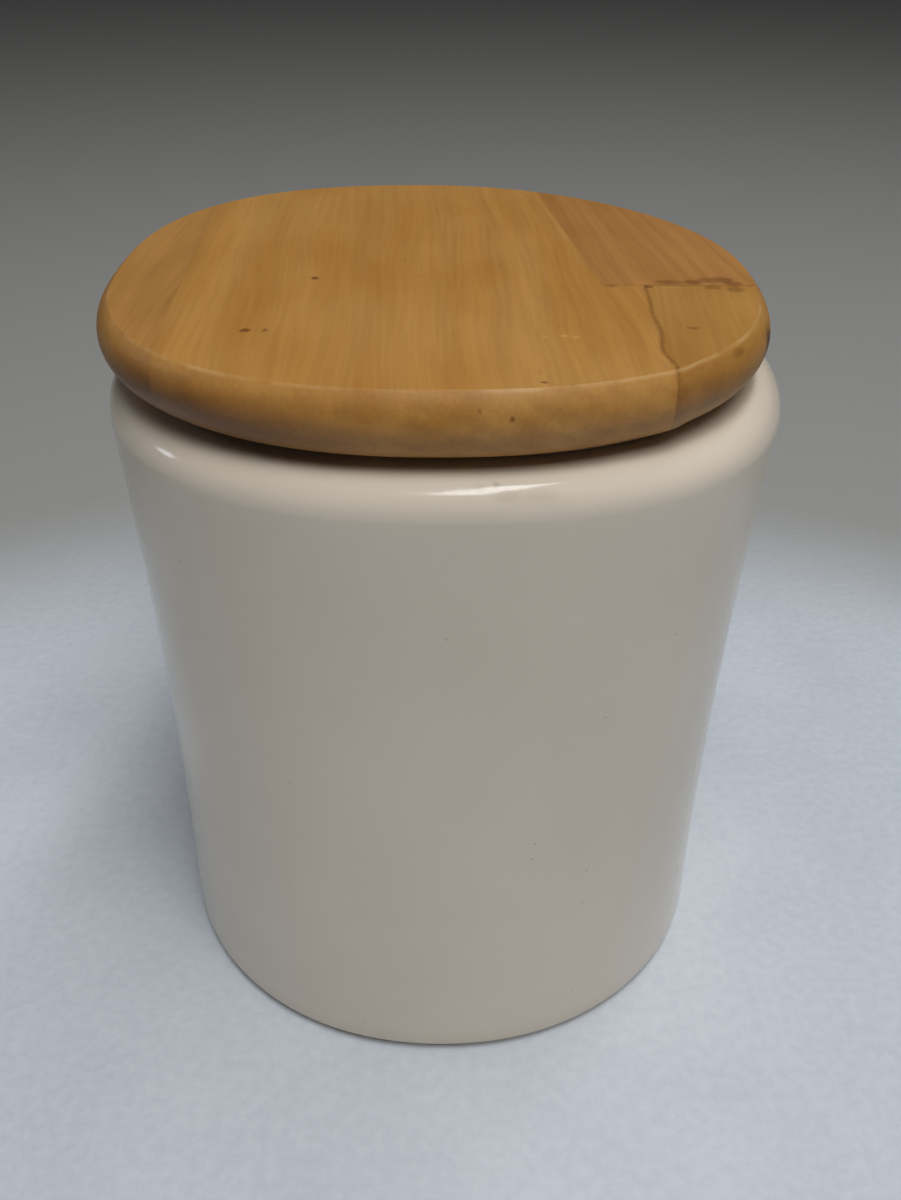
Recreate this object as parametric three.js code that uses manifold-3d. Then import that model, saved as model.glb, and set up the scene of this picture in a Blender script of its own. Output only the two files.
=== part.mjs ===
// A lidded storage jar, in millimetres, +Z up, with the origin on the table under the jar's centre.
// A glazed stoneware body with a rounded-square plan, a softly rounded shoulder and a small unglazed
// foot carries a lid of edge-glued wooden staves. A plug glued under the lid board and a silicone
// ring round the plug's neck close the mouth. The lid lifts straight off.
import * as THREE from 'three';
import { mergeVertices } from 'three/addons/utils/BufferGeometryUtils.js';
import Module from 'manifold-3d';

const wasm = await Module();
wasm.setup();

// ---- driving dimensions of the jar ----
const HALF_WIDTH = 70;          // from the axis to the flat of a side, at the base
const SHOULDER_HALF_WIDTH = 69; // the same just below the shoulder
const RIM_HEIGHT = 155;         // the flat land of the rim, which the lid stands on
const WALL = 6;                 // at its thinnest
const FLOOR = 6;
const WAIST = 1.5;              // how far the sides pull in between the base and the shoulder
const SHOULDER_RADIUS = 6.5;    // round outer edge of the rim
const MOUTH_HALF_WIDTH = 56;    // the throat that the plug goes into
const MOUTH_EDGE_RADIUS = 1;
const THROAT_DEPTH = 9;         // from the rim's land to the throat's lower end
const THROAT_FLARE = 10;        // height over which the thick rim blends into the wall
const CAVITY_RADIUS = 10;       // round corner between the wall and the floor, inside
const FOOT_HEIGHT = 1.8;        // unglazed foot ring
const FOOT_INSET = 2;           // from the jar's side to the foot ring
const FOOT_WIDTH = 7;
const FOOT_RECESS = 2.4;        // height of the hollow inside the foot ring

// ---- driving dimensions of the lid ----
const LID_HALF_WIDTH = 66.8;    // at the widest level of the lid's edge
const LID_THICKNESS = 12.8;
const LID_BULGE_LEVEL = 6.6;    // height of the widest level above the board's underside
const LID_TOP_INSET = 3.2;      // from the widest level in to the top arris
const LID_SHIFT_X = -2.3;       // the board is glued a little off the plug's centre
const LID_SHIFT_Y = 0.5;
const PLUG_HEIGHT = 13;
const PLUG_HALF_WIDTH = 54;
const PLUG_NECK_HALF_WIDTH = 51.5;
const PLUG_NECK_HEIGHT = 9;     // the reduced upper part that carries the ring
const PLUG_EDGE = 1.5;          // chamfer round the plug's lower edge
const RING_FLANGE = 2;          // the ring's lip between the rim and the board
const RING_FLANGE_HALF_WIDTH = 58;
const RING_BAND = 1.6;          // thickness of the ring's band round the neck
const FIN_DROPS = [5.2, 8];     // each fin's root, below the board's underside
const FIN_ROOT = 1.6;
const FIN_TIP = 0.5;

// ---- plan shape: a circle pushed out into a rounded square ----
const PLAN_POWER_BASE = 2.1;    // 2 is a circle, and a higher power is squarer
const PLAN_POWER_RIM = 2.4;
const BOARD_POWER_LOW = 2.26;   // the board's underside is sanded rounder than its top
const BOARD_POWER_TOP = 2.44;
const WORN_CORNER_DROP = 0.52;  // how much less square the board's back right corner is
const AROUND = 64;              // facets round the plan, a multiple of eight

// ---- the board's glue lines, in plan: each runs from a front point to a back point ----
const LEFT_SEAM = [[-51.2, -28], [-52.2, -2]];
const RIGHT_FRONT_SEAM = [[36.4, -54], [38.8, -13]];
const RIGHT_BACK_SEAM = [[30.6, -13], [24, 52]];
const END_JOINT_Y = -12.8;      // where the two right-hand staves meet end to end

const CLEARANCE = 0.3;          // between pieces that move or are fitted round each other
const GLUE_LINE = 0.2;          // between glued staves
const BEYOND = 100;             // reach of a cutter past the board's outline

const LID_BOTTOM = RIM_HEIGHT + RING_FLANGE;
const LID_TOP = LID_BOTTOM + LID_THICKNESS;

// How square the jar's plan is at a height: it grows from the base to the rim and stays there.
function jarPower(x, y, z) {
  const rise = Math.min(Math.max(z / RIM_HEIGHT, 0), 1);
  return PLAN_POWER_BASE + (PLAN_POWER_RIM - PLAN_POWER_BASE) * rise;
}

// How square the lid board's plan is: more so towards its top, and less in its worn back right corner.
function boardPower(x, y, z) {
  const rise = (z - LID_BOTTOM) / LID_THICKNESS;
  const worn = x > 0 && y > 0 ? WORN_CORNER_DROP : 0;
  return BOARD_POWER_LOW + (BOARD_POWER_TOP - BOARD_POWER_LOW) * rise - worn;
}

// Revolves a closed [radius, z] outline about +Z, then pushes each level out to the rounded square.
function squareLathe(outline, powerAt = jarPower) {
  const points = outline.map(([radius, z]) => new THREE.Vector2(radius, z));
  const geometry = new THREE.LatheGeometry(points, AROUND);
  geometry.rotateX(Math.PI / 2);
  geometry.deleteAttribute('normal');
  geometry.deleteAttribute('uv');
  const position = geometry.attributes.position;
  for (let i = 0; i < position.count; i += 1) {
    const x = position.getX(i);
    const y = position.getY(i);
    const radius = Math.hypot(x, y);
    if (radius > 0) {
      const power = powerAt(x, y, position.getZ(i));
      const sum = Math.abs(x / radius) ** power + Math.abs(y / radius) ** power;
      const push = sum ** (-1 / power);
      position.setXY(i, x * push, y * push);
    }
  }
  return mergeVertices(geometry, 1e-4);
}

// Points of an arc about a centre, from one angle to another in degrees, both ends included.
function arc(centreRadius, centreZ, radius, from, to, steps) {
  return Array.from({ length: steps + 1 }, (_, i) => {
    const angle = THREE.MathUtils.degToRad(from + ((to - from) * i) / steps);
    return [centreRadius + radius * Math.cos(angle), centreZ + radius * Math.sin(angle)];
  });
}

// Points of a formula, outline(t) for t from 0 to 1, both ends included.
function sweep(outline, steps) {
  return Array.from({ length: steps + 1 }, (_, i) => outline(i / steps));
}

// ---- booleans ----
function solidOf(geometry) {
  return new wasm.Manifold(new wasm.Mesh({
    numProp: 3,
    vertProperties: new Float32Array(geometry.attributes.position.array),
    triVerts: new Uint32Array(geometry.index.array),
  }));
}

function geometryOf(solid) {
  const mesh = solid.getMesh();
  const geometry = new THREE.BufferGeometry();
  geometry.setAttribute('position', new THREE.BufferAttribute(mesh.vertProperties, 3));
  geometry.setIndex(new THREE.BufferAttribute(mesh.triVerts, 1));
  return geometry;
}

// An upright prism over a plan polygon, tall enough to cut the whole board.
function cutter(corners) {
  const shape = new THREE.Shape(corners.map(([x, y]) => new THREE.Vector2(x, y)));
  const geometry = new THREE.ExtrudeGeometry(shape, { depth: 2 * LID_TOP, bevelEnabled: false });
  geometry.deleteAttribute('normal');
  geometry.deleteAttribute('uv');
  return solidOf(mergeVertices(geometry, 1e-4));
}

// ---- jar ----
function jarOutline() {
  const footOuter = HALF_WIDTH - FOOT_INSET;
  const sideStart = FOOT_HEIGHT + FOOT_INSET;
  const sideEnd = RIM_HEIGHT - SHOULDER_RADIUS;
  const taper = HALF_WIDTH - SHOULDER_HALF_WIDTH;
  const side = (t) => [
    HALF_WIDTH - taper * t - WAIST * 4 * t * (1 - t),
    sideStart + (sideEnd - sideStart) * t,
  ];
  const throatEnd = RIM_HEIGHT - THROAT_DEPTH;
  const wallStart = throatEnd - THROAT_FLARE;
  const wallInside = SHOULDER_HALF_WIDTH - WAIST - WALL;
  const cavityFloor = FOOT_RECESS + FLOOR;
  const flare = (t) => [
    MOUTH_HALF_WIDTH + ((wallInside - MOUTH_HALF_WIDTH) * (1 - Math.cos(Math.PI * t))) / 2,
    throatEnd + (wallStart - throatEnd) * t,
  ];
  return [
    [0, FOOT_RECESS],
    [footOuter - FOOT_WIDTH - 1, FOOT_RECESS],
    [footOuter - FOOT_WIDTH, 0],
    [footOuter, 0],
    ...arc(footOuter, sideStart, FOOT_INSET, -90, 0, 4),
    ...sweep(side, 8).slice(1, -1),
    ...arc(SHOULDER_HALF_WIDTH - SHOULDER_RADIUS, sideEnd, SHOULDER_RADIUS, 0, 90, 7),
    ...arc(MOUTH_HALF_WIDTH + MOUTH_EDGE_RADIUS, RIM_HEIGHT - MOUTH_EDGE_RADIUS,
      MOUTH_EDGE_RADIUS, 90, 180, 3),
    ...sweep(flare, 6),
    ...arc(wallInside - CAVITY_RADIUS, cavityFloor + CAVITY_RADIUS, CAVITY_RADIUS, 0, -90, 5),
    [0, cavityFloor],
  ];
}

// ---- lid ----
// The board's edge bulges from a quarter round below its widest level to a flatter arc that meets
// the top face in an arris.
function boardOutline() {
  const rise = LID_THICKNESS - LID_BULGE_LEVEL;
  const upperRadius = (LID_TOP_INSET ** 2 + rise ** 2) / (2 * LID_TOP_INSET);
  const upperAngle = THREE.MathUtils.radToDeg(Math.asin(rise / upperRadius));
  const bulge = LID_BOTTOM + LID_BULGE_LEVEL;
  return [
    [0, LID_BOTTOM],
    ...arc(LID_HALF_WIDTH - LID_BULGE_LEVEL, bulge, LID_BULGE_LEVEL, -90, 0, 5),
    ...arc(LID_HALF_WIDTH - upperRadius, bulge, upperRadius, 0, upperAngle, 5).slice(1),
    [0, LID_TOP],
  ];
}

// The x of a seam line at a given y, so that a cutter's edge can run past the board.
function seamX([front, back], y) {
  return front[0] + ((back[0] - front[0]) * (y - front[1])) / (back[1] - front[1]);
}

// The plan polygon on the right (+1) or left (-1) of a seam, between two y levels, its seam edge
// moved by inset towards that side.
function besideSeam(seam, side, yFront, yBack, inset) {
  const far = side * BEYOND;
  const corners = [
    [seamX(seam, yFront) + side * inset, yFront],
    [far, yFront],
    [far, yBack],
    [seamX(seam, yBack) + side * inset, yBack],
  ];
  return side > 0 ? corners : corners.reverse();
}

function cutBoard() {
  const whole = squareLathe(boardOutline(), boardPower).translate(LID_SHIFT_X, LID_SHIFT_Y, 0);
  const board = solidOf(whole);
  const half = GLUE_LINE / 2;
  const left = (inset) => cutter(besideSeam(LEFT_SEAM, -1, -BEYOND, BEYOND, inset));
  const front = (inset) => cutter(
    besideSeam(RIGHT_FRONT_SEAM, 1, -BEYOND, END_JOINT_Y - inset, inset),
  );
  const back = (inset) => cutter(
    besideSeam(RIGHT_BACK_SEAM, 1, END_JOINT_Y + inset, BEYOND, inset),
  );
  return {
    lid_stave_left: board.intersect(left(half)),
    lid_stave_right_front: board.intersect(front(half)),
    lid_stave_right_back: board.intersect(back(half)),
    lid_stave_middle: board.subtract(left(-half)).subtract(front(-half)).subtract(back(-half)),
  };
}

function plugOutline() {
  const plugBottom = LID_BOTTOM - PLUG_HEIGHT;
  const neckBottom = LID_BOTTOM - PLUG_NECK_HEIGHT;
  return [
    [0, plugBottom],
    [PLUG_HALF_WIDTH - PLUG_EDGE, plugBottom],
    [PLUG_HALF_WIDTH, plugBottom + PLUG_EDGE],
    [PLUG_HALF_WIDTH, neckBottom],
    [PLUG_NECK_HALF_WIDTH, neckBottom],
    [PLUG_NECK_HALF_WIDTH, LID_BOTTOM],
    [0, LID_BOTTOM],
  ];
}

// A band round the plug's neck, with fins that reach the throat and a flange under the board.
function ringOutline() {
  const inner = PLUG_NECK_HALF_WIDTH + CLEARANCE;
  const band = inner + RING_BAND;
  const finReach = MOUTH_HALF_WIDTH - CLEARANCE;
  const bottom = LID_BOTTOM - PLUG_NECK_HEIGHT + CLEARANCE;
  const fins = [...FIN_DROPS].reverse().flatMap((drop) => [
    [band, LID_BOTTOM - drop],
    [finReach, LID_BOTTOM - drop + FIN_ROOT - FIN_TIP],
    [finReach, LID_BOTTOM - drop + FIN_ROOT],
    [band, LID_BOTTOM - drop + FIN_ROOT],
  ]);
  return [
    [inner, bottom],
    [band, bottom],
    ...fins,
    [band, RIM_HEIGHT],
    [RING_FLANGE_HALF_WIDTH, RIM_HEIGHT],
    [RING_FLANGE_HALF_WIDTH, LID_BOTTOM],
    [inner, LID_BOTTOM],
    [inner, bottom],
  ];
}

// ---- materials ----
const glaze = new THREE.MeshStandardMaterial({ color: '#c9bfb1', roughness: 0.18, metalness: 0 });
const plugWood = new THREE.MeshStandardMaterial({ color: '#b98a52', roughness: 0.6, metalness: 0 });
const silicone = new THREE.MeshStandardMaterial({ color: '#d8d6cf', roughness: 0.45, metalness: 0 });
const staveColors = {
  lid_stave_left: '#b07a3e',
  lid_stave_middle: '#b8823f',
  lid_stave_right_front: '#b27f43',
  lid_stave_right_back: '#a36f38',
};

function piece(name, geometry, material) {
  const mesh = new THREE.Mesh(geometry, material);
  mesh.name = name;
  return mesh;
}

const jar = new THREE.Group();
jar.add(piece('jar_body', squareLathe(jarOutline()), glaze));

const lid = new THREE.Group();
for (const [name, solid] of Object.entries(cutBoard())) {
  const wood = new THREE.MeshStandardMaterial({
    color: staveColors[name], roughness: 0.45, metalness: 0,
  });
  lid.add(piece(name, geometryOf(solid), wood));
}
lid.add(piece('lid_plug', squareLathe(plugOutline()), plugWood));
lid.add(piece('seal_ring', squareLathe(ringOutline()), silicone));

const canister = new THREE.Group();
canister.add(jar, lid);

export default canister;
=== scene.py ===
import math

import bmesh
import bpy
from mathutils import Matrix, Vector, noise


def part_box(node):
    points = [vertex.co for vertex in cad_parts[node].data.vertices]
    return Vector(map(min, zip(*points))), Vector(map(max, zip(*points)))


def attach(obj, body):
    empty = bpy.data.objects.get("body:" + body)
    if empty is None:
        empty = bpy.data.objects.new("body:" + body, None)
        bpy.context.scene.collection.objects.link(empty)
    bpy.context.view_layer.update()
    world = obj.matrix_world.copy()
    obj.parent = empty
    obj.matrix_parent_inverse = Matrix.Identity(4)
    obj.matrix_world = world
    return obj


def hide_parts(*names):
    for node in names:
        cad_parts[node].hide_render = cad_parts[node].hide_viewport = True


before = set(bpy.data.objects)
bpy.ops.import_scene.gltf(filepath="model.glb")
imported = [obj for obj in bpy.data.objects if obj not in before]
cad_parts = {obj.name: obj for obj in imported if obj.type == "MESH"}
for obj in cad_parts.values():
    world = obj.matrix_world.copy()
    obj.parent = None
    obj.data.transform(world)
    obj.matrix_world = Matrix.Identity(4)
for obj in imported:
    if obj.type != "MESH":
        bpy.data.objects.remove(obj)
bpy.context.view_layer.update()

MM = 0.001

# ---- sizes read from the frame ----
STAVES = ["lid_stave_left", "lid_stave_middle", "lid_stave_right_front", "lid_stave_right_back"]
STAVE_BOXES = [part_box(name) for name in STAVES]
LID_LOW = Vector([min(low[i] for low, high in STAVE_BOXES) for i in range(3)])
LID_HIGH = Vector([max(high[i] for low, high in STAVE_BOXES) for i in range(3)])
LID_BOTTOM = LID_LOW.z
LID_TOP = LID_HIGH.z
LID_HALF_WIDTH = (LID_HIGH.x - LID_LOW.x) / 2
LID_CENTRE = Vector(((LID_LOW.x + LID_HIGH.x) / 2, (LID_LOW.y + LID_HIGH.y) / 2, 0))
HALF_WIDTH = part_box("jar_body")[1].x
RIM_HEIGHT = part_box("jar_body")[1].z
PLUG_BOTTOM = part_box("lid_plug")[0].z
PLUG_HALF_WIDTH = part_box("lid_plug")[1].x
RING_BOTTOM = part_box("seal_ring")[0].z
RING_FLANGE_HALF_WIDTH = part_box("seal_ring")[1].x

# ---- the CAD's own shape constants ----
SHOULDER_HALF_WIDTH = 69 * MM
WALL = 6 * MM
FLOOR = 6 * MM
WAIST = 1.5 * MM
SHOULDER_RADIUS = 6.5 * MM
MOUTH_HALF_WIDTH = 56 * MM
MOUTH_EDGE_RADIUS = 1 * MM
THROAT_DEPTH = 9 * MM
THROAT_FLARE = 10 * MM
CAVITY_RADIUS = 10 * MM
FOOT_HEIGHT = 1.8 * MM
FOOT_INSET = 2 * MM
FOOT_WIDTH = 7 * MM
FOOT_RECESS = 2.4 * MM
LID_BULGE_LEVEL = 6.6 * MM
LID_TOP_INSET = 3.2 * MM
PLUG_NECK_HALF_WIDTH = 51.5 * MM
PLUG_NECK_HEIGHT = 9 * MM
CLEARANCE = 0.3 * MM
RING_BAND = 1.6 * MM
FIN_DROPS = [8 * MM, 5.2 * MM]
FIN_ROOT = 1.6 * MM
FIN_TIP = 0.5 * MM
PLAN_POWER_BASE = 2.1
PLAN_POWER_RIM = 2.4
BOARD_POWER_LOW = 2.26
BOARD_POWER_TOP = 2.44
WORN_CORNER_DROP = 0.52
LEFT_SEAM = [(-51.2, -28), (-52.2, -2)]  # in mm, each from a front point to a back point
RIGHT_FRONT_SEAM = [(36.4, -54), (38.8, -13)]
RIGHT_BACK_SEAM = [(30.6, -13), (24, 52)]
END_JOINT = [(60, -12.8), (0, -12.8)]  # from right to left, so that its normal points to the back

# ---- fineness and small surface detail that only the looks have ----
AROUND = 256
TOUCH = 1e-6                 # points nearer than this, in metres, count as the same
GLAZE_WAVE = 0.13 * MM       # how far the hand-made glaze surface dips
GLAZE_WAVE_LENGTH = 32 * MM
CLAY_STEP = 0.25 * MM        # the glaze stands this proud of the bare foot ring
CLAY_EDGE_RADIUS = 0.6 * MM  # round edges of the foot ring
RECESS_SLOPE = 1 * MM        # run of the slope from the foot's recess down to its ring
BOARD_WAVE = 0.08 * MM
BOARD_WAVE_LENGTH = 16 * MM
ARRIS_RADIUS = 0.4 * MM
NEAR_ARRIS = [0.3 * MM, 1.2 * MM]  # extra rings of vertices beside the arris, to shade it crisply
TOP_RING_STEP = 4 * MM       # between the rings of vertices on the board's flats
GLUE_FILM = 0.02 * MM        # between the board and the plug and ring under it
RING_FIT = 0.05 * MM         # between the plug's neck and the ring stretched over it
FLANGE_ROUND = 0.45          # fillets of the ring's flange, as a part of its thickness
TIGHT_GAP = 0.005 * MM       # how far each stave stands back from a tight seam
OPEN_GAP = 0.01 * MM         # the same at the two seams that show as dark lines
# The right front seam is crooked: it swings from side to side, less and less towards the back.
WANDER_FRONT = -53.5 * MM    # the board's front end of the seam
WANDER_LENGTH = 17 * MM      # of one swing to both sides
WANDER_START = -58 * MM      # where a swing would start
WANDER_FADE = 14 * MM        # length over which the swings shrink to about a third
WANDER_SIZE = 1 * MM         # of the first swing
WANDER_WIDTH = 6 * MM        # how far from the seam the wood follows it


# ---- plan shapes ----
def jar_power(x, y, z):
    """How square the jar's plan is at a height; the board's power also needs x and y."""
    rise = min(max(z / RIM_HEIGHT, 0.0), 1.0)
    return PLAN_POWER_BASE + (PLAN_POWER_RIM - PLAN_POWER_BASE) * rise


def board_power(x, y, z):
    """How square the board's plan is at a height, and less so in its worn corner."""
    rise = (z - LID_BOTTOM) / (LID_TOP - LID_BOTTOM)
    worn = WORN_CORNER_DROP if x > 0 and y > 0 else 0
    return BOARD_POWER_LOW + (BOARD_POWER_TOP - BOARD_POWER_LOW) * rise - worn


def plan_point(radius, z, turn, power_at, wave, wave_length):
    """A point of the rounded square of half-width radius, dipped inwards a little by smooth noise."""
    cosine, sine = math.cos(turn), math.sin(turn)
    power = power_at(cosine, sine, z)
    push = (abs(cosine) ** power + abs(sine) ** power) ** (-1 / power)
    point = Vector((radius * push * cosine, radius * push * sine, z))
    dip = wave * (0.5 + 0.5 * noise.noise(point / wave_length))
    shrink = max(1 - dip / radius, 0)
    return Vector((point.x * shrink, point.y * shrink, z))


# ---- outlines ----
def arc(centre_radius, centre_z, radius, start, end, steps):
    """Points of an arc from one angle to another, in degrees."""
    angles = [math.radians(start + (end - start) * i / steps) for i in range(steps + 1)]
    return [(centre_radius + radius * math.cos(a), centre_z + radius * math.sin(a)) for a in angles]


def sweep(outline, steps):
    """Points of a curve given as a function of 0 to 1."""
    return [outline(i / steps) for i in range(steps + 1)]


def filleted(corners, steps=5):
    """Points of a closed outline of (radius, z, fillet) corners, each rounded by its own fillet."""
    points = []
    for i, (radius, z, fillet) in enumerate(corners):
        here = Vector((radius, z))
        if fillet == 0:
            points.append((radius, z))
            continue
        before = (Vector(corners[i - 1][:2]) - here).normalized()
        after = (Vector(corners[(i + 1) % len(corners)][:2]) - here).normalized()
        half = before.angle(after) / 2
        centre = here + (before + after).normalized() * fillet / math.sin(half)
        start = here + before * fillet / math.tan(half) - centre
        end = here + after * fillet / math.tan(half) - centre
        for step in range(steps + 1):
            point = centre + start.slerp(end, step / steps) * fillet
            points.append((point.x, point.y))
    return points


# ---- meshes ----
def square_lathe(outline, power_at=jar_power, closed=False, wave=0, wave_length=1):
    """A bmesh revolved from an outline that starts and ends on the axis, or closes on itself."""
    mesh = bmesh.new()
    turns = [2 * math.pi * i / AROUND for i in range(AROUND)]
    rings = []
    for radius, z in outline:
        if radius < TOUCH / 10:
            rings.append([mesh.verts.new((0, 0, z))])
            continue
        points = [plan_point(radius, z, turn, power_at, wave, wave_length) for turn in turns]
        rings.append([mesh.verts.new(point) for point in points])
    pairs = list(zip(rings, rings[1:]))
    if closed:
        pairs.append((rings[-1], rings[0]))
    for low, high in pairs:
        for i in range(AROUND):
            j = (i + 1) % AROUND
            corners = [low[i % len(low)], low[j % len(low)], high[j % len(high)], high[i % len(high)]]
            mesh.faces.new(list(dict.fromkeys(corners)))
    bmesh.ops.recalc_face_normals(mesh, faces=mesh.faces)
    return mesh


def object_from(name, mesh, sharp_angle=32):
    data = bpy.data.meshes.new(name)
    mesh.to_mesh(data)
    mesh.free()
    data.polygons.foreach_set("use_smooth", [True] * len(data.polygons))
    data.set_sharp_from_angle(angle=math.radians(sharp_angle))
    piece = bpy.data.objects.new(name, data)
    bpy.context.scene.collection.objects.link(piece)
    return piece


def stand_in(name, mesh, material, body, node):
    """Makes a piece that rides on a body and stands for a CAD node."""
    piece = object_from(name, mesh)
    piece.data.materials.append(material)
    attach(piece, body)
    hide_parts(node)


# ---- jar ----
def jar_outline():
    foot_outer = HALF_WIDTH - FOOT_INSET
    foot_inner = foot_outer - FOOT_WIDTH
    clay_outer = foot_outer - CLAY_STEP
    side_start = FOOT_HEIGHT + FOOT_INSET
    side_end = RIM_HEIGHT - SHOULDER_RADIUS
    throat_end = RIM_HEIGHT - THROAT_DEPTH
    wall_start = throat_end - THROAT_FLARE
    wall_inside = SHOULDER_HALF_WIDTH - WAIST - WALL
    cavity_floor = FOOT_RECESS + FLOOR
    edge = CLAY_EDGE_RADIUS

    def side(t):
        bow = WAIST * 4 * t * (1 - t)
        radius = HALF_WIDTH + (SHOULDER_HALF_WIDTH - HALF_WIDTH) * t - bow
        return radius, side_start + (side_end - side_start) * t

    def flare(t):
        blend = (1 - math.cos(math.pi * t)) / 2
        radius = MOUTH_HALF_WIDTH + (wall_inside - MOUTH_HALF_WIDTH) * blend
        return radius, throat_end + (wall_start - throat_end) * t

    return [
        (0, FOOT_RECESS),
        (foot_inner - RECESS_SLOPE, FOOT_RECESS),
        *arc(foot_inner + edge, edge, edge, 180, 270, 4),
        *arc(clay_outer - edge, edge, edge, 270, 360, 4),
        (clay_outer, FOOT_HEIGHT),
        *arc(foot_outer, side_start, FOOT_INSET, -90, 0, 10),
        *sweep(side, 48)[1:-1],
        *arc(SHOULDER_HALF_WIDTH - SHOULDER_RADIUS, side_end, SHOULDER_RADIUS, 0, 90, 24),
        *arc(MOUTH_HALF_WIDTH + MOUTH_EDGE_RADIUS, RIM_HEIGHT - MOUTH_EDGE_RADIUS,
             MOUTH_EDGE_RADIUS, 90, 180, 8),
        *sweep(flare, 14),
        *arc(wall_inside - CAVITY_RADIUS, cavity_floor + CAVITY_RADIUS, CAVITY_RADIUS, 0, -90, 12),
        (0, cavity_floor),
    ]


def make_jar():
    mesh = square_lathe(jar_outline(), wave=GLAZE_WAVE, wave_length=GLAZE_WAVE_LENGTH)
    stand_in("jar_glazed_body", mesh, make_glaze(), "jar", "jar_body")


# ---- lid board ----
def board_outline():
    """Underside, quarter round, flatter upper arc, rounded arris and top, with rings across the flats."""
    rise = LID_TOP - LID_BOTTOM - LID_BULGE_LEVEL
    bulge = LID_BOTTOM + LID_BULGE_LEVEL
    upper = (LID_TOP_INSET ** 2 + rise ** 2) / (2 * LID_TOP_INSET)
    upper_centre = LID_HALF_WIDTH - upper
    # The arris fillet touches the upper arc from inside and the top plane from below.
    arris_z = LID_TOP - ARRIS_RADIUS
    arris_r = upper_centre + math.sqrt((upper - ARRIS_RADIUS) ** 2 - (arris_z - bulge) ** 2)
    arris_angle = math.degrees(math.asin((arris_z - bulge) / (upper - ARRIS_RADIUS)))
    low_centre = LID_HALF_WIDTH - LID_BULGE_LEVEL
    count = int(low_centre // TOP_RING_STEP)
    flats = [TOP_RING_STEP * (i + 0.5) for i in range(count)]
    near_arris = [arris_r - distance for distance in NEAR_ARRIS]
    top = [radius for radius in reversed(flats) if radius < near_arris[-1] - MM]
    return [
        (0, LID_BOTTOM),
        *[(radius, LID_BOTTOM) for radius in flats],
        *arc(low_centre, bulge, LID_BULGE_LEVEL, -90, 0, 14),
        *arc(upper_centre, bulge, upper, 0, arris_angle, 12)[1:],
        *arc(arris_r, arris_z, ARRIS_RADIUS, arris_angle, 90, 6)[1:],
        *[(radius, LID_TOP) for radius in near_arris + top],
        (0, LID_TOP),
    ]


def seam_normal(seam):
    """The unit normal of a seam's upright plane, to the right of its front-to-back line."""
    (front_x, front_y), (back_x, back_y) = seam
    return Vector((back_y - front_y, front_x - back_x, 0)).normalized()


def from_seam(point, seam):
    """How far a point, in metres, stands from a seam's plane, positive on its right."""
    return seam_normal(seam).dot(point - Vector((*seam[0], 0)) * MM)


def seam_crossing(seam):
    """Where a seam line meets the end joint, in metres."""
    (front_x, front_y), (back_x, back_y) = seam
    y = END_JOINT[0][1]
    return Vector((front_x + (back_x - front_x) * (y - front_y) / (back_y - front_y), y, 0)) * MM


def stave_at(point):
    if from_seam(point, LEFT_SEAM) < 0:
        return "lid_stave_left"
    if from_seam(point, END_JOINT) < 0:
        right = from_seam(point, RIGHT_FRONT_SEAM) > 0
        return "lid_stave_right_front" if right else "lid_stave_middle"
    right = from_seam(point, RIGHT_BACK_SEAM) > 0
    return "lid_stave_right_back" if right else "lid_stave_middle"


# Each stave's cut walls: the seam, the side of it that the stave is on, and the gap left.
WALLS = {
    "lid_stave_left": [(LEFT_SEAM, -1, TIGHT_GAP)],
    "lid_stave_middle": [
        (LEFT_SEAM, 1, TIGHT_GAP),
        (RIGHT_FRONT_SEAM, -1, OPEN_GAP),
        (END_JOINT, -1, OPEN_GAP),
        (RIGHT_BACK_SEAM, -1, TIGHT_GAP),
    ],
    "lid_stave_right_front": [(RIGHT_FRONT_SEAM, 1, OPEN_GAP), (END_JOINT, -1, OPEN_GAP)],
    "lid_stave_right_back": [(RIGHT_BACK_SEAM, 1, TIGHT_GAP), (END_JOINT, 1, OPEN_GAP)],
}
# The upright edges where a stave's wall turns from a seam to the end joint.
CORNERS = {
    "lid_stave_left": [],
    "lid_stave_middle": [RIGHT_FRONT_SEAM, RIGHT_BACK_SEAM],
    "lid_stave_right_front": [RIGHT_FRONT_SEAM],
    "lid_stave_right_back": [RIGHT_BACK_SEAM],
}


def slice_mesh(mesh, seam, chosen):
    """Cuts those faces whose centre is chosen along a seam's plane, without parting them."""
    faces = [face for face in mesh.faces if chosen(face.calc_center_median())]
    edges = dict.fromkeys(edge for face in faces for edge in face.edges)
    verts = dict.fromkeys(vert for face in faces for vert in face.verts)
    bmesh.ops.bisect_plane(mesh, geom=[*faces, *edges, *verts], dist=TOUCH / 10,
                           plane_co=Vector((*seam[0], 0)) * MM, plane_no=seam_normal(seam))


def add_walls(mesh, name):
    """Closes a stave where it was cut, and draws each wall back from its seam by the gap."""
    for seam in CORNERS[name]:
        place = seam_crossing(seam)
        upright = [vert for vert in mesh.verts if (vert.co.xy - place.xy).length < TOUCH]
        mesh.edges.new(upright)
    shifts = []
    for seam, side, gap in WALLS[name]:
        rim = [edge for edge in mesh.edges if len(edge.link_faces) < 2
               and all(abs(from_seam(vert.co, seam)) < TOUCH for vert in edge.verts)]
        wall = bmesh.ops.contextual_create(mesh, geom=rim)["faces"]
        shift = seam_normal(seam) * side * gap
        shifts += [(vert, shift) for face in wall for vert in face.verts]
        bmesh.ops.triangulate(mesh, faces=wall, ngon_method="BEAUTY")
    for vert, shift in shifts:
        vert.co += shift


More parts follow.
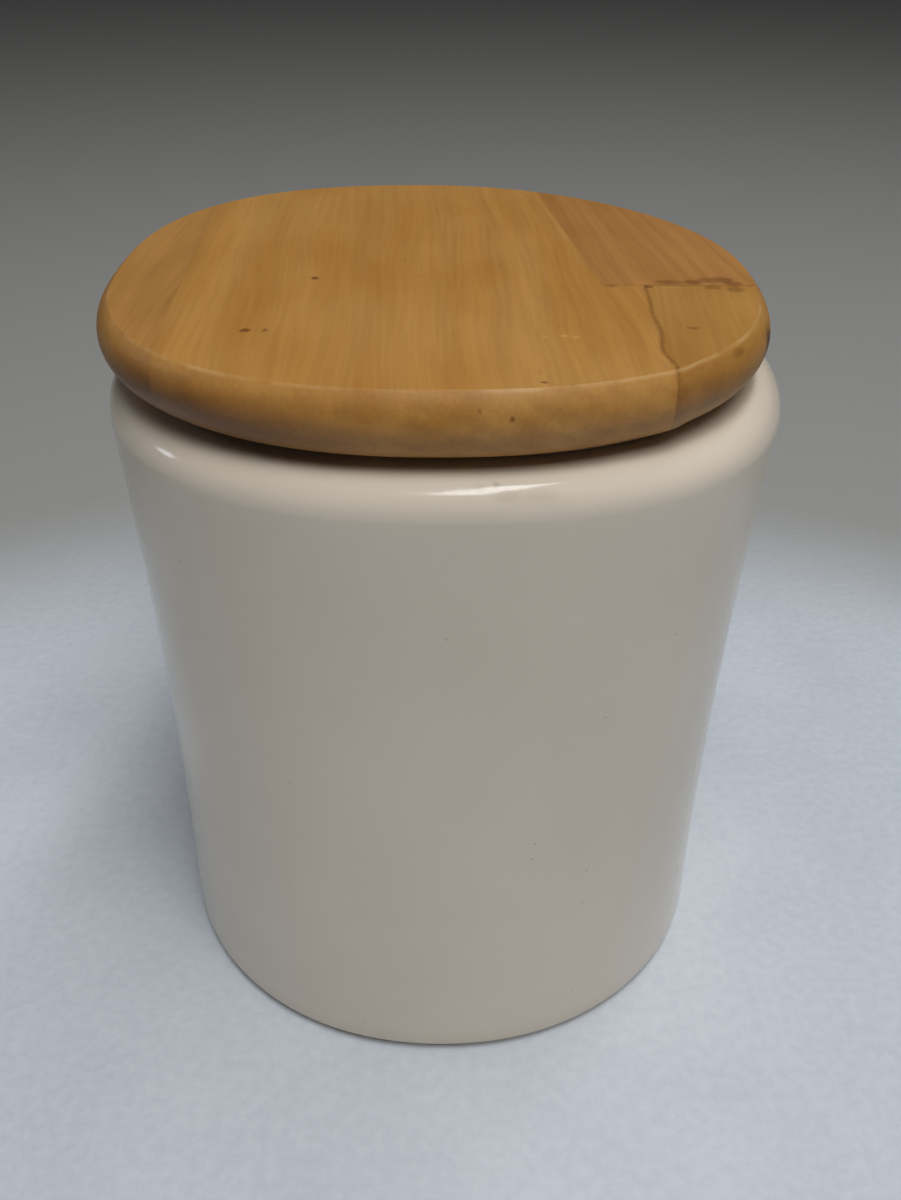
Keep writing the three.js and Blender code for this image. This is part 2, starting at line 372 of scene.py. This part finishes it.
def wander(point):
    """How far the crooked right front seam strays to the right at a point, in metres."""
    y = max(point.y, WANDER_FRONT)
    nearness = max(1 - (from_seam(point, RIGHT_FRONT_SEAM) / WANDER_WIDTH) ** 2, 0) ** 2
    fade = math.exp((WANDER_FRONT - y) / WANDER_FADE)
    swing = math.sin(2 * math.pi * (y - WANDER_START) / WANDER_LENGTH)
    return WANDER_SIZE * fade * swing * nearness


def make_staves():
    board = square_lathe(board_outline(), board_power, wave=BOARD_WAVE, wave_length=BOARD_WAVE_LENGTH)
    bmesh.ops.translate(board, verts=board.verts, vec=LID_CENTRE)
    slice_mesh(board, LEFT_SEAM, lambda centre: centre.x < 0)
    slice_mesh(board, END_JOINT, lambda centre: centre.x > 0)
    slice_mesh(board, RIGHT_FRONT_SEAM, lambda centre: from_seam(centre, END_JOINT) < 0)
    slice_mesh(board, RIGHT_BACK_SEAM, lambda centre: from_seam(centre, END_JOINT) > 0)
    # Where each point was before the seams strayed, so that the wood's looks can follow them.
    straight = board.verts.layers.float_vector.new("straight_place")
    for vert in board.verts:
        vert[straight] = vert.co / MM
    for name in STAVES:
        stave = board.copy()
        others = [face for face in stave.faces if stave_at(face.calc_center_median()) != name]
        bmesh.ops.delete(stave, geom=others, context="FACES")
        add_walls(stave, name)
        for vert in stave.verts:
            vert.co.x += wander(vert.co)
        bmesh.ops.recalc_face_normals(stave, faces=stave.faces)
        slot = name.removeprefix("lid_")
        stand_in("wood_" + slot, stave, make_wood(name, STAVE_LOOKS[name]), "lid", name)
    board.free()


# ---- plug and ring ----
def make_plug():
    neck_bottom = LID_BOTTOM - PLUG_NECK_HEIGHT
    top = LID_BOTTOM - GLUE_FILM
    outline = filleted([
        (0, PLUG_BOTTOM, 0),
        (PLUG_HALF_WIDTH, PLUG_BOTTOM, 1.6 * MM),
        (PLUG_HALF_WIDTH, neck_bottom, 0.5 * MM),
        (PLUG_NECK_HALF_WIDTH, neck_bottom, 0.4 * MM),
        (PLUG_NECK_HALF_WIDTH, top, 0.2 * MM),
        (0, top, 0),
    ])
    mesh = square_lathe(outline, wave=BOARD_WAVE, wave_length=BOARD_WAVE_LENGTH)
    stand_in("wood_plug", mesh, make_wood("plug", PLUG_LOOK), "lid", "lid_plug")


def make_ring():
    inner = PLUG_NECK_HALF_WIDTH + RING_FIT
    band = PLUG_NECK_HALF_WIDTH + CLEARANCE + RING_BAND
    fin_reach = MOUTH_HALF_WIDTH - CLEARANCE
    top = LID_BOTTOM - GLUE_FILM
    flange_round = FLANGE_ROUND * (LID_BOTTOM - RIM_HEIGHT)
    corners = [(inner, RING_BOTTOM, 0.3 * MM), (band, RING_BOTTOM, 0.4 * MM)]
    for drop in FIN_DROPS:
        root = LID_BOTTOM - drop
        corners += [
            (band, root, 0.3 * MM),
            (fin_reach, root + FIN_ROOT - FIN_TIP, 0.2 * MM),
            (fin_reach, root + FIN_ROOT, 0.2 * MM),
            (band, root + FIN_ROOT, 0.3 * MM),
        ]
    corners += [
        (band, RIM_HEIGHT, 0.3 * MM),
        (RING_FLANGE_HALF_WIDTH, RIM_HEIGHT, flange_round),
        (RING_FLANGE_HALF_WIDTH, top, flange_round),
        (inner, top, 0.2 * MM),
    ]
    mesh = square_lathe(filleted(corners), closed=True)
    stand_in("silicone_ring", mesh, make_silicone(), "lid", "seal_ring")


# ---- materials ----
class Shader:
    """A node material. Inputs are set by name or number, from a value or from another node's output."""

    def __init__(self, name):
        self.material = bpy.data.materials.new(name)
        self.material.use_nodes = True
        self.tree = self.material.node_tree
        self.surface = self.tree.nodes["Principled BSDF"]

    def add(self, kind, inputs, **settings):
        node = self.tree.nodes.new("ShaderNode" + kind)
        for key, value in settings.items():
            setattr(node, key, value)
        self.set(node, inputs)
        return node

    def set(self, node, inputs):
        for key, value in inputs.items():
            if isinstance(value, bpy.types.NodeSocket):
                self.tree.links.new(value, node.inputs[key])
            else:
                node.inputs[key].default_value = value

    def maths(self, operation, *values, clamp=False):
        inputs = dict(enumerate(values))
        return self.add("Math", inputs, operation=operation, use_clamp=clamp).outputs[0]

    def vector(self, operation, *values):
        """A vector operation's result; LENGTH and DOT_PRODUCT give a number."""
        node = self.add("VectorMath", dict(enumerate(values)), operation=operation)
        return node.outputs["Value" if operation in ("LENGTH", "DOT_PRODUCT") else "Vector"]

    def remap(self, value, low, high, to_low=0.0, to_high=1.0):
        """A smooth step of value between low and high."""
        inputs = {"Value": value, 1: low, 2: high, 3: to_low, 4: to_high}
        return self.add("MapRange", inputs, interpolation_type="SMOOTHSTEP").outputs[0]

    def mix(self, factor, first, second, blend="MIX"):
        inputs = {0: factor, 6: first, 7: second}
        return self.add("Mix", inputs, data_type="RGBA", blend_type=blend).outputs[2]

    def noise(self, place, scale, detail=2.0):
        """Noise from 0 to 1; scale is in cycles per mm, as one number or as one for each axis."""
        if isinstance(scale, tuple):
            place = self.vector("MULTIPLY", place, scale)
            scale = 1.0
        inputs = {"Vector": place, "Scale": scale, "Detail": detail}
        return self.add("TexNoise", inputs).outputs["Fac"]

    def place(self, shift=(0, 0, 0), turn=0.0):
        """The point on the object in mm, moved and then turned about +Z."""
        node = self.add("TexCoord", {})
        scaled = self.vector("MULTIPLY", node.outputs["Object"], (1 / MM,) * 3)
        moved = self.vector("ADD", scaled, shift)
        turned = self.add("VectorRotate", {"Vector": moved, "Angle": turn}, rotation_type="Z_AXIS")
        return turned.outputs[0]

    def spot(self, place, centre, radii):
        """1 in the middle of an ellipsoid, falling to 0 at its surface."""
        offset = self.vector("SUBTRACT", place, centre)
        scaled = self.vector("MULTIPLY", offset, tuple(1 / radius for radius in radii))
        return self.remap(self.vector("LENGTH", scaled), 0.35, 1.0, 1.0, 0.0)

    def ragged(self, place, scale, detail, reach):
        """The point strayed at random, by up to half of reach either way on each axis."""
        stray = self.add("TexNoise", {"Vector": place, "Scale": scale, "Detail": detail}).outputs["Color"]
        centred = self.vector("SUBTRACT", stray, (0.5, 0.5, 0.5))
        return self.vector("ADD", place, self.vector("MULTIPLY", centred, reach))

    def flecks(self, place, scale, outer, inner, share):
        """1 in the middle of round flecks; a share of the cells, 1 / scale across, hold one each."""
        cells = self.add("TexVoronoi", {"Vector": place, "Scale": scale})
        pick = self.add("SeparateColor", {0: cells.outputs["Color"]}).outputs[0]
        chosen = self.maths("GREATER_THAN", pick, 1 - share)
        return self.maths("MULTIPLY", self.remap(cells.outputs["Distance"], outer, inner), chosen)

    def darken(self, amount, strength):
        """A shade of 1 where amount is 0, and of 1 - strength where amount is 1."""
        return self.maths("MULTIPLY_ADD", amount, -strength, 1.0)

    def product(self, values):
        result = values[0]
        for value in values[1:]:
            result = self.maths("MULTIPLY", result, value)
        return result

    def bump(self, height, distance, strength=1.0):
        inputs = {"Height": height, "Distance": distance, "Strength": strength}
        self.set(self.surface, {"Normal": self.add("Bump", inputs).outputs["Normal"]})


# ---- glaze ----
GLAZE_TONES = [(0.690, 0.610, 0.502, 1), (0.724, 0.643, 0.533, 1)]
THIN_GLAZE_TONE = (0.61, 0.49, 0.36, 1)
SMUDGE_TONE = (0.25, 0.19, 0.11, 1)
IRON_TONE = (0.30, 0.21, 0.12, 1)
CLAY_TONES = [(0.46, 0.34, 0.22, 1), (0.68, 0.55, 0.40, 1)]
CLAY_HEIGHT = (2.65, 2.35)    # mm, with up to 1 mm of noise added: glaze above, bare clay below
THIN_GLAZE_HEIGHT = (9.0, 2.0)  # mm
GLAZE_IOR = 1.5
GLAZE_RELIEF = 0.12 * MM
# Faint brown smudges on the front of the shoulder: centre and radii in mm, and strength.
GLAZE_SMUDGES = [
    ((9.2, -66.9, 153.0), (3.4, 3, 1.1), 0.11),
    ((14.8, -66.6, 152.8), (3.6, 3, 1.0), 0.09),
    ((13.4, -66.8, 152.2), (9.0, 3, 1.6), 0.07),
    ((4.8, -66.0, 153.9), (1.5, 2, 0.8), 0.12),
    ((7.5, -65.4, 154.2), (0.9, 1.5, 0.6), 0.25),
]


def add_smudges(shader, place, colour):
    ragged = shader.ragged(place, 0.5, 2.0, (1, 1, 1))
    for centre, radii, strength in GLAZE_SMUDGES:
        amount = shader.maths("MULTIPLY", shader.spot(ragged, centre, radii), strength)
        colour = shader.mix(amount, colour, SMUDGE_TONE)
    return colour


def make_glaze():
    shader = Shader("cream_glaze")
    place = shader.place()
    height = shader.add("SeparateXYZ", {0: place}).outputs["Z"]
    cloud = shader.remap(shader.noise(place, 0.022, 3), 0.3, 0.7)
    colour = shader.mix(cloud, *GLAZE_TONES)
    # The glaze thins to a warmer tone just above the foot.
    thin = shader.maths("MULTIPLY", shader.remap(height, *THIN_GLAZE_HEIGHT), 0.35)
    colour = shader.mix(thin, colour, THIN_GLAZE_TONE)
    colour = add_smudges(shader, place, colour)
    # Rare pin-head specks of iron in the clay.
    specks = shader.flecks(place, 0.16, 0.07, 0.03, 0.14)
    colour = shader.mix(shader.maths("MULTIPLY", specks, 0.35), colour, IRON_TONE)
    # Bare clay on the foot ring and inside it, with a ragged edge.
    edge = shader.maths("ADD", height, shader.noise(place, 0.35, 3))
    clay = shader.remap(edge, *CLAY_HEIGHT)
    grit = shader.noise(place, 2.2, 4)
    colour = shader.mix(clay, colour, shader.mix(grit, *CLAY_TONES))
    gloss = shader.maths("MULTIPLY_ADD", shader.noise(place, 0.06, 3), 0.08, 0.07)
    rough = shader.maths("MULTIPLY_ADD", clay, 0.7, gloss)
    shader.set(shader.surface, {"Base Color": colour, "Roughness": rough, "IOR": GLAZE_IOR})
    peel = shader.maths("MULTIPLY", shader.noise(place, 0.28, 2), 0.3)
    pits = shader.maths("MULTIPLY", grit, clay)
    shader.bump(shader.maths("ADD", peel, pits), GLAZE_RELIEF)
    return shader.material


# ---- wood ----
# Looks of the staves. Tones are linear colours from dark to light; turn is the grain's angle from
# front-to-back. A glue line has its seam, half-width in mm and darkness. A mark has its place in mm,
# as x, y and depth below the top face, its radii, and its strength, which is negative for a pale mark.
LEFT_GLUE = (LEFT_SEAM, 2.6, 0.07)
FRONT_GLUE = (RIGHT_FRONT_SEAM, 0.85, 0.34)
BACK_GLUE = (RIGHT_BACK_SEAM, 1.2, 0.05)
END_GLUE = (END_JOINT, 0.6, 0.25)
# Painted shade: a big dark patch over the left of the board's front side, standing for the shade there, not
# for darker wood.
PAINTED_SHADE_LEFT_SIDE = ((-46, -50, 9.5), (42, 36, 9.5), 0.52)
STAVE_LOOKS = {
    "lid_stave_left": {
        "tones": [(0.38, 0.183, 0.046), (0.468, 0.234, 0.062)],
        "turn": 0.05, "shift": (41, 17, 3), "end_grain": 0.70, "glue": [LEFT_GLUE],
        "marks": [PAINTED_SHADE_LEFT_SIDE],
    },
    "lid_stave_middle": {
        "tones": [(0.436, 0.202, 0.042), (0.487, 0.25, 0.066)],
        "turn": -0.03, "shift": (0, 0, 0), "end_grain": 0.86,
        "glue": [LEFT_GLUE, FRONT_GLUE, BACK_GLUE],
        "marks": [
            ((-26.1, -9.5, 0), (1.1, 1.2, 3), 0.55), ((-35.8, -37.9, 0), (1.4, 1.3, 3), 0.55),
            ((-32.3, -37.8, 0), (1.0, 1.0, 2), 0.4), ((14.9, -60.0, 0), (0.8, 0.7, 2), 0.5),
            ((9.7, -65.6, 3.9), (0.6, 2, 0.6), 0.5), ((4.5, -65.5, 2.7), (0.6, 2, 0.6), 0.3),
            PAINTED_SHADE_LEFT_SIDE, ((32.4, -13.0, 0), (1.6, 1.4, 2), 0.35), ((20.3, -40.0, 0), (1.3, 0.8, 1), -0.22),
            ((22.3, -40.5, 0), (1.0, 0.7, 1), -0.25), ((16.7, -40.5, 0), (1.0, 0.7, 1), -0.15),
        ],
    },
    "lid_stave_right_front": {
        "tones": [(0.394, 0.186, 0.038), (0.463, 0.236, 0.060)],
        "turn": 0.10, "shift": (-63, 29, 11), "end_grain": 0.62, "glue": [FRONT_GLUE, END_GLUE],
        "marks": [
            ((39.2, -13.6, 0), (1.5, 1.2, 2), 0.4), ((43.6, -35.9, 0), (1.5, 1.1, 2), 0.3),
            ((56.3, -14.8, 0), (2.6, 2.4, 2), 0.3), ((52.1, -13.9, 0), (2.4, 1.6, 2), 0.3),
            ((60.6, -31.0, 5.2), (4.0, 6.0, 5.0), 0.8), ((50.5, -44.5, 1.2), (3.0, 3.0, 1.0), 0.25),
        ],
    },
    "lid_stave_right_back": {
        "tones": [(0.361, 0.161, 0.038), (0.431, 0.201, 0.056)],
        "turn": -0.12, "shift": (90, -47, 19), "end_grain": 0.70, "glue": [BACK_GLUE, END_GLUE],
        "marks": [
            ((43.6, -10.8, 0), (3.6, 1.9, 3), 0.3), ((48.6, -10.8, 0), (3.2, 2.0, 3), 0.34),
            ((51.4, -9.3, 0), (2.4, 2.2, 3), 0.28), ((54.9, -9.3, 0), (3.0, 2.6, 3), 0.36),
            ((56.6, -11.6, 0), (2.4, 2.2, 3), 0.3),
        ],
    },
}
PLUG_LOOK = {
    "tones": [(0.47, 0.28, 0.12), (0.56, 0.36, 0.17)],
    "turn": 0.3, "shift": (17, 140, 80), "end_grain": 0.85, "glue": [], "marks": [],
}

HEART = (-22, 0, 90)        # a point on the tree's heart, in the grain's own turned frame, in mm
RING_SPACING = 3.4          # mm
FIBRE_SWAY = 9.0            # mm
# Pale tone of the arris: partly worn oil, partly a painted highlight where the arris catches the light.
WORN_AND_HIGHLIGHT_TONE = (0.62, 0.42, 0.20, 1)
WOOD_IOR = 1.42             # oiled wood
WOOD_RELIEF = 0.2 * MM
REDDENING = 1.2             # power of the shade on green and blue, as darker wood is also redder; it reddens the painted shade on the left side too


def sway_fibres(shader, place):
    """The point strayed sideways by slow noise, as the fibres that run front to back sway a little."""
    sway = shader.noise(place, (0.03, 0.012, 0.03), 2)
    sideways = shader.add("CombineXYZ", {0: shader.maths("MULTIPLY", sway, FIBRE_SWAY)}).outputs[0]
    return shader.vector("ADD", place, sideways)


def wood_tone(shader, place, wavy, tones):
    """A colour between dark and light, in long streaks and soft clouds."""
    streaks = shader.noise(wavy, (0.11, 0.010, 0.11), 2)
    clouds = shader.noise(place, (0.035, 0.022, 0.04), 2)
    tone = shader.remap(shader.maths("ADD", streaks, clouds), 0.72, 1.28)
    dark, light = tones
    return shader.mix(tone, (*dark, 1), (*light, 1))


def growth_rings(shader, wavy):
    """The shade of rings about the heart, far below the board: soft lines on top, arcs on the ends."""
    across = shader.vector("MULTIPLY", shader.vector("SUBTRACT", wavy, HEART), (1, 0, 1))
    phase = shader.maths("MULTIPLY", shader.vector("LENGTH", across), 2 * math.pi / RING_SPACING)
    return shader.remap(shader.maths("SINE", phase), -1.0, 1.0, 0.965, 1.02)


def end_grain(shader, place, normal, end_shade):
    """The shade of the front and back, which drink more oil, so that they are darker and blotchy."""
    facing = shader.maths("ABSOLUTE", shader.vector("DOT_PRODUCT", normal, (0, 1, 0)))
    ends = shader.remap(facing, 0.35, 0.95)
    blotches = shader.remap(shader.noise(place, 0.16, 4), 0.3, 0.7, -0.08, 0.08)
    return shader.maths("MULTIPLY_ADD", ends, shader.maths("ADD", end_shade - 1, blotches), 1.0)


def glue_shades(shader, upward, lines):
    """A shade for each glue line, crumbly and fading on the board's side."""
    straight = shader.add("Attribute", {}, attribute_name="straight_place").outputs["Vector"]
    crumbs = shader.remap(shader.noise(straight, 0.9, 3), 0.2, 0.55, 0.5, 1.0)
    on_top = shader.remap(upward, 0.3, 0.95, 0.1, 1.0)
    shades = []
    for seam, half_width, darkness in lines:
        offset = shader.vector("SUBTRACT", straight, (*seam[0], 0))
        distance = shader.maths("ABSOLUTE", shader.vector("DOT_PRODUCT", offset, tuple(seam_normal(seam))))
        line = shader.product([shader.remap(distance, half_width, 0.0), crumbs, on_top])
        shades.append(shader.darken(line, darkness))
    return shades


def mark_shades(shader, marks):
    """A shade for each mark with frayed edges, from small marks in the wood to the big painted shade on the
    left side.
    """
    frayed = shader.ragged(shader.place(), 0.7, 3.0, (2.0, 1.4, 0))
    shades = []
    for (x, y, depth), radii, strength in marks:
        spot = shader.spot(frayed, (x, y, LID_TOP / MM - depth), radii)
        shades.append(shader.darken(spot, strength))
    return shades


def paint_arris_wear_and_highlight(shader, place, upward, colour):
    """Makes the board's upper edge paler in patches: partly oil worn off it, partly a painted highlight where
    the arris catches the light.
    """
    height = shader.add("SeparateXYZ", {0: shader.place()}).outputs["Z"]
    near_top = shader.remap(height, LID_TOP / MM - 0.6, LID_TOP / MM - 0.2)
    arris = shader.maths("MULTIPLY", near_top, shader.remap(upward, 0.985, 0.93))
    patchy = shader.remap(shader.noise(place, 0.12, 3), 0.35, 0.7, 0.0, 0.45)
    return shader.mix(shader.maths("MULTIPLY", arris, patchy), colour, WORN_AND_HIGHLIGHT_TONE)


def make_wood(name, look):
    shader = Shader("wood_" + name)
    place = shader.place(look["shift"], look["turn"])
    wavy = sway_fibres(shader, place)
    normal = shader.add("NewGeometry", {}).outputs["Normal"]
    upward = shader.add("SeparateXYZ", {0: normal}).outputs["Z"]
    fibres = shader.remap(shader.noise(wavy, (1.1, 0.035, 1.1), 3), 0.25, 0.75, 0.94, 1.05)
    # Short dark flecks along the fibres in a quarter of the cells.
    flecks = shader.flecks(shader.vector("MULTIPLY", wavy, (0.75, 0.12, 0.75)), 1.0, 0.22, 0.06, 0.25)
    shade = shader.product([
        growth_rings(shader, wavy),
        fibres,
        shader.darken(flecks, 0.10),
        end_grain(shader, place, normal, look["end_grain"]),
        *glue_shades(shader, upward, look["glue"]),
        *mark_shades(shader, look["marks"]),
    ])
    redder = shader.maths("POWER", shade, REDDENING)
    shade_colour = shader.add("CombineColor", {0: shade, 1: redder, 2: redder}).outputs[0]
    colour = shader.mix(1.0, wood_tone(shader, place, wavy, look["tones"]), shade_colour, blend="MULTIPLY")
    colour = paint_arris_wear_and_highlight(shader, place, upward, colour)
    rough = shader.maths("MULTIPLY_ADD", shader.noise(place, 0.08, 3), 0.16, 0.36)
    shader.set(shader.surface, {"Base Color": colour, "Roughness": rough, "IOR": WOOD_IOR})
    relief = shader.maths("ADD", fibres, shader.maths("MULTIPLY", flecks, -0.3))
    shader.bump(relief, WOOD_RELIEF, 0.35)
    return shader.material


# ---- silicone ----
SILICONE_TONES = [(0.78, 0.77, 0.72, 1), (0.84, 0.83, 0.79, 1)]
SILICONE_IOR = 1.41
SILICONE_RELIEF = 0.04 * MM


def make_silicone():
    shader = Shader("milky_silicone")
    place = shader.place()
    cloud = shader.noise(place, 0.05, 2)
    colour = shader.mix(cloud, *SILICONE_TONES)
    dust = shader.noise(place, 0.6, 3)
    rough = shader.maths("MULTIPLY_ADD", dust, 0.2, 0.36)
    shader.set(shader.surface, {
        "Base Color": colour, "Roughness": rough, "IOR": SILICONE_IOR,
        "Subsurface Weight": 0.35, "Subsurface Radius": (1.0, 0.9, 0.8), "Subsurface Scale": MM,
    })
    shader.bump(dust, SILICONE_RELIEF)
    return shader.material


# ---- stage ----
FLOOR_HALF_WIDTH = 4          # in metres, as the other sizes here
FLOOR_TONES = [(0.585, 0.633, 0.695, 1), (0.663, 0.711, 0.773, 1)]
FAR_TONE = (0.38, 0.385, 0.37, 1)
PALE_CENTRE = (0, -0.25, 0)   # the pale part of the floor reaches further to the front
PALE_RADIUS = 0.37
PALE_EDGE = 1.3               # the pale part ends at this many times its radius
NAP = 0.6 * MM


def make_floor():
    mesh = bmesh.new()
    bmesh.ops.create_grid(mesh, x_segments=1, y_segments=1, size=FLOOR_HALF_WIDTH)
    floor = object_from("floor", mesh)
    shader = Shader("pale_floor")
    place = shader.place()
    nap = shader.noise(place, 0.35, 4)
    clouds = shader.noise(place, 0.02, 2)
    tone = shader.remap(shader.maths("ADD", nap, clouds), 0.6, 1.4)
    colour = shader.mix(tone, *FLOOR_TONES)
    metres = shader.vector("MULTIPLY", place, (MM, MM, MM))
    distance = shader.vector("LENGTH", shader.vector("SUBTRACT", metres, PALE_CENTRE))
    far = shader.remap(distance, PALE_RADIUS, PALE_RADIUS * PALE_EDGE)
    colour = shader.mix(far, colour, FAR_TONE)
    shader.set(shader.surface, {"Base Color": colour, "Roughness": 0.9})
    shader.bump(nap, NAP, 0.5)
    floor.data.materials.append(shader.material)


def make_light(name, place, target, size, watts, colour=(1, 1, 1)):
    data = bpy.data.lights.new(name, "AREA")
    data.shape = "RECTANGLE"
    data.size, data.size_y = size
    data.energy = watts
    data.color = colour
    light = bpy.data.objects.new(name, data)
    bpy.context.scene.collection.objects.link(light)
    light.location = place
    light.rotation_euler = (Vector(target) - Vector(place)).to_track_quat("-Z", "Y").to_euler()
    return light


LIGHTS_AIM = (0, 0, 0.12)
KEY_WATTS = 12.8
STRIP_WATTS = 5.2
LAMP_WATTS = 0.4
LAMP_COLOUR = (0.9, 0.95, 1.0)


def make_lights():
    key = make_light("key", (0.20, -0.62, 1.45), LIGHTS_AIM, (0.8, 0.8), KEY_WATTS)
    key.visible_glossy = False   # so that only the strip and the lamp show as highlights
    make_light("overhead_strip", (0.22, -0.07, 1.33), LIGHTS_AIM, (1.3, 0.16), STRIP_WATTS)
    make_light("left_lamp", (-1.05, 0.13, 0.6), LIGHTS_AIM, (0.16, 0.16), LAMP_WATTS, LAMP_COLOUR)


WORLD_STRENGTH = 0.2
HORIZON_TONE = 0.10
ZENITH_TONE = 0.30


def make_world():
    """A soft grey surround, paler towards the zenith."""
    world = bpy.data.worlds.new("studio")
    world.use_nodes = True
    tree = world.node_tree
    background = tree.nodes["Background"]
    direction = tree.nodes.new("ShaderNodeTexCoord")
    split = tree.nodes.new("ShaderNodeSeparateXYZ")
    ramp = tree.nodes.new("ShaderNodeMapRange")
    tree.links.new(direction.outputs["Generated"], split.inputs[0])
    tree.links.new(split.outputs["Z"], ramp.inputs["Value"])
    ramp.inputs["To Min"].default_value = HORIZON_TONE
    ramp.inputs["To Max"].default_value = ZENITH_TONE
    tree.links.new(ramp.outputs["Result"], background.inputs["Color"])
    background.inputs["Strength"].default_value = WORLD_STRENGTH
    bpy.context.scene.world = world


# The camera stands in front of the jar, well above it, looking down. It has a little roll and pan.
CAMERA_LENS = 31.7       # mm
CAMERA_SENSOR = 36       # mm
CAMERA_PITCH = 0.611     # radians below level, as the other angles
CAMERA_ROLL = 0.013
CAMERA_PAN = -0.003
JAR_YAW = 0.02
CAMERA_FROM_JAR = Vector((0.016, -3.11, 3.398))  # in half-widths of the jar


def make_camera():
    data = bpy.data.cameras.new("camera")
    data.lens = CAMERA_LENS
    data.sensor_width = CAMERA_SENSOR
    data.clip_start = 0.01
    camera = bpy.data.objects.new("camera", data)
    bpy.context.scene.collection.objects.link(camera)
    turn = Matrix.Rotation(-JAR_YAW, 4, "Z")
    place = Matrix.Translation(CAMERA_FROM_JAR * HALF_WIDTH)
    aim = (Matrix.Rotation(CAMERA_PAN, 4, "Z") @ Matrix.Rotation(math.pi / 2 - CAMERA_PITCH, 4, "X")
           @ Matrix.Rotation(CAMERA_ROLL, 4, "Z"))
    camera.matrix_world = turn @ place @ aim
    bpy.context.scene.camera = camera


make_jar()
make_staves()
make_plug()
make_ring()
make_floor()
make_lights()
make_world()
make_camera()
bpy.context.scene.view_settings.view_transform = "Standard"
